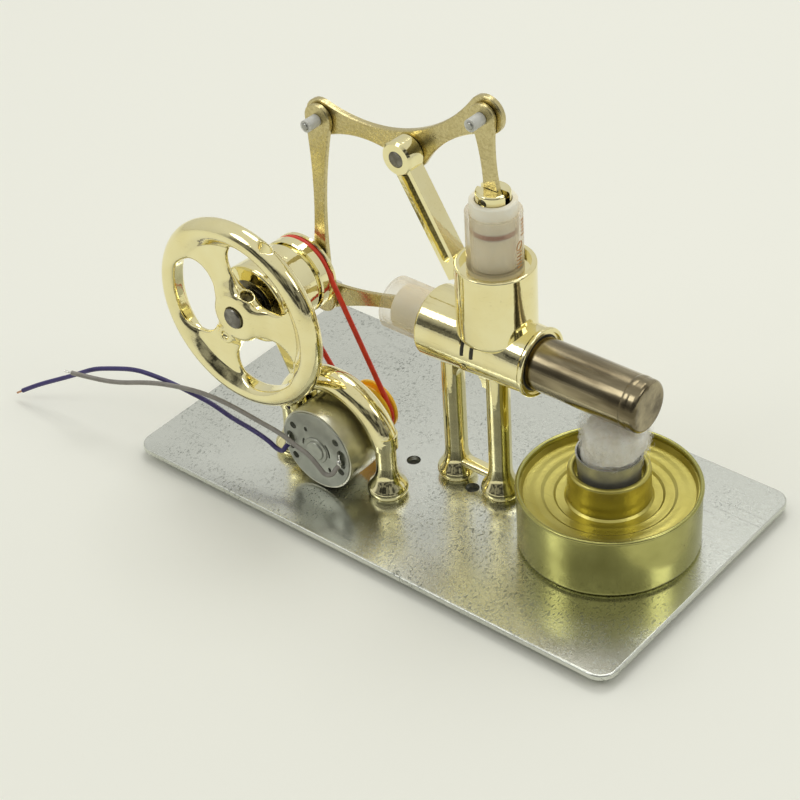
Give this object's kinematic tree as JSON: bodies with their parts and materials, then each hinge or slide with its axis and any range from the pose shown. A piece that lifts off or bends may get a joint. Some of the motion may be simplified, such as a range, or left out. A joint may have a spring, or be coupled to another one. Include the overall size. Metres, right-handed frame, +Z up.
{
  "type": "stirling engine model",
  "caption": "Tabletop hot-air engine: glass pistons, rocker linkage, spoked flywheel, spirit lamp and a belt-driven generator on a steel base plate.",
  "frame": {"origin": "centre of the base plate's footprint, on the surface its rubber feet stand on", "axes": "+X along the base from the flywheel to the lamp, +Y from the flywheel's face to the back, +Z up"},
  "size_m": [0.2118, 0.09, 0.1255],
  "materials": {
    "galvanised_steel": "bright, spangled and finely scratched",
    "black_rubber": "matte",
    "screw_steel": "zinc plated",
    "gold_plate": "bright gold-plated casting",
    "bearing_steel": "ground",
    "shaft_steel": "ground",
    "nickel_can": "satin nickel",
    "grey_cap": "satin grey",
    "terminal_brass": "tinned",
    "orange_plastic": "semi gloss",
    "red_rubber": "satin",
    "clear_glass": "clear",
    "frosted_glass": "ground",
    "ring_red": "satin",
    "tinted_steel": "heat tinted, drawn",
    "bronze": "satin, stamped",
    "white_sleeve": "translucent",
    "lamp_lacquer": "gold lacquer on tinplate",
    "bright_steel": "bright",
    "cotton": "loose fibres",
    "blue_insulation": "satin",
    "grey_insulation": "satin",
    "copper": "bare strands",
    "tinned_copper": "bare strands"
  },
  "bodies": {
    "frame": {"base_plate": "galvanised_steel", "rubber_foot_front_left": "black_rubber", "rubber_foot_back_left": "black_rubber", "rubber_foot_front_right": "black_rubber", "rubber_foot_back_right": "black_rubber", "base_screw_1": "screw_steel", "base_screw_2": "screw_steel", "base_screw_3": "screw_steel", "base_screw_4": "screw_steel", "bearing_bracket": "gold_plate", "front_bearing_outer": "bearing_steel", "rear_bearing_outer": "bearing_steel", "motor_can": "nickel_can", "motor_end_cap": "grey_cap", "motor_terminal_left": "terminal_brass", "motor_terminal_right": "terminal_brass", "drive_belt": "red_rubber", "engine_housing": "gold_plate", "cold_barrel": "clear_glass", "hot_barrel": "clear_glass", "hot_cap": "tinted_steel", "cap_gasket": "black_rubber", "rocker_pivot_pin": "shaft_steel", "wire_blue": "blue_insulation", "wire_grey": "grey_insulation", "wire_tip_blue": "copper", "wire_tip_grey": "tinned_copper"},
    "crank": {"flywheel": "gold_plate", "flywheel_screw": "screw_steel", "crank_shaft": "shaft_steel", "crank_pulley": "gold_plate", "crank_pin_stub": "shaft_steel", "front_bearing_inner": "bearing_steel", "rear_bearing_inner": "bearing_steel"},
    "generator_rotor": {"motor_shaft": "shaft_steel", "motor_pulley": "orange_plastic"},
    "rocker": {"rocker_beam": "bronze", "rocker_left_pin": "shaft_steel", "rocker_left_sleeve": "white_sleeve", "rocker_right_plug": "shaft_steel"},
    "long_rod_set": {"long_rod": "bronze"},
    "cold_piston": {"cold_plunger": "frosted_glass", "cold_plunger_ring": "ring_red", "cold_insert": "gold_plate", "cold_cross_pin": "shaft_steel"},
    "link": {"short_link": "bronze", "link_pin": "shaft_steel", "link_sleeve": "white_sleeve"},
    "hot_piston": {"hot_plunger": "frosted_glass", "hot_plunger_ring": "ring_red", "hot_insert": "gold_plate", "wrist_pin": "shaft_steel", "displacer": "bright_steel"},
    "level_rod_set": {"level_rod": "bronze", "level_rod_pin": "shaft_steel", "level_rod_sleeve": "white_sleeve"},
    "lamp": {"lamp_can": "lamp_lacquer", "lamp_lid": "lamp_lacquer", "wick_holder": "bright_steel", "wick": "cotton"}
  },
  "joints": [
    {"name": "crank_spin", "type": "hinge", "parent": "frame", "child": "crank", "pos_m": [-0.0482, -0.0287, 0.0538], "axis": [0, 1, 0], "continuous": true},
    {"name": "motor_spin", "type": "hinge", "parent": "frame", "child": "generator_rotor", "pos_m": [-0.0259, -0.0038, 0.0167], "axis": [0, 1, 0], "continuous": true},
    {"name": "rocker_swing", "type": "hinge", "parent": "frame", "child": "rocker", "pos_m": [-0.0099, 0.00135, 0.1026], "axis": [0, 1, 0], "range_deg": [-2.8, 33.5]},
    {"name": "long_rod_swing", "type": "hinge", "parent": "rocker", "child": "long_rod_set", "pos_m": [-0.0401, -0.0005, 0.1025], "axis": [0, 1, 0], "range_deg": [-26.39, 2.39]},
    {"name": "cold_piston_slide", "type": "slide", "parent": "frame", "child": "cold_piston", "axis": [0, 0, 1], "range_m": [-0.01639, 0.00142]},
    {"name": "link_swing", "type": "hinge", "parent": "cold_piston", "child": "link", "pos_m": [0.017, -0.0005, 0.0988], "axis": [0, 1, 0], "range_deg": [-1.46, 15.31]},
    {"name": "hot_piston_slide", "type": "slide", "parent": "frame", "child": "hot_piston", "axis": [1, 0, 0], "range_m": [-0.0124, 0.00636]},
    {"name": "level_rod_swing", "type": "hinge", "parent": "hot_piston", "child": "level_rod_set", "pos_m": [-0.01218, 0.0012, 0.0538], "axis": [0, 1, 0], "range_deg": [-1.72, 31.38]},
    {"name": "lamp_slide", "type": "slide", "parent": "frame", "child": "lamp", "axis": [0, -1, 0], "range_m": [0, 0.018]}
  ],
  "couplings": [
    {"joint": "motor_spin", "follows": "crank_spin", "ratio": 1.45},
    {"joint": "long_rod_swing", "follows": "rocker_swing", "ratio": -0.7818},
    {"joint": "cold_piston_slide", "follows": "rocker_swing", "m_per_rad": -0.027945},
    {"joint": "link_swing", "follows": "rocker_swing", "ratio": 0.451}
  ]
}
